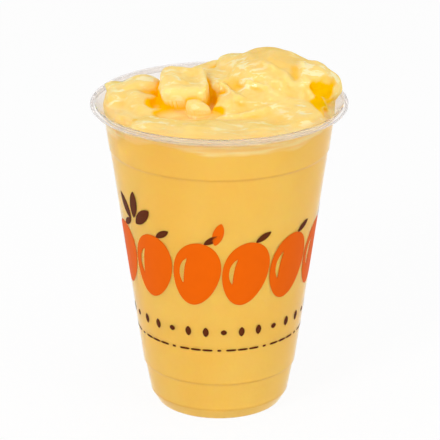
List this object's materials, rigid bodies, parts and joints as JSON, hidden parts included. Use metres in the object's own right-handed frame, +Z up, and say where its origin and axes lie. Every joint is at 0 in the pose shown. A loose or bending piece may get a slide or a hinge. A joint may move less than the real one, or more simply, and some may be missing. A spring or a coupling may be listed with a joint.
{
  "type": "mango smoothie in a cup",
  "caption": "Thick mango smoothie heaped over the rim of a clear tapered plastic takeaway cup, to stand on a table or in a drink holder.",
  "frame": {"origin": "middle of the foot ring's plane, on the cup's axis", "axes": "+Z up along the cup's axis; -Y is the shown front, and the heap's tall side is towards +X"},
  "size_m": [0.095, 0.095, 0.1339],
  "materials": {
    "cup_plastic": "clear, slightly milky polypropylene",
    "smoothie": "wet, thick fruit purée"
  },
  "bodies": {
    "root": {"cup": "cup_plastic", "smoothie": "smoothie"}
  },
  "joints": []
}
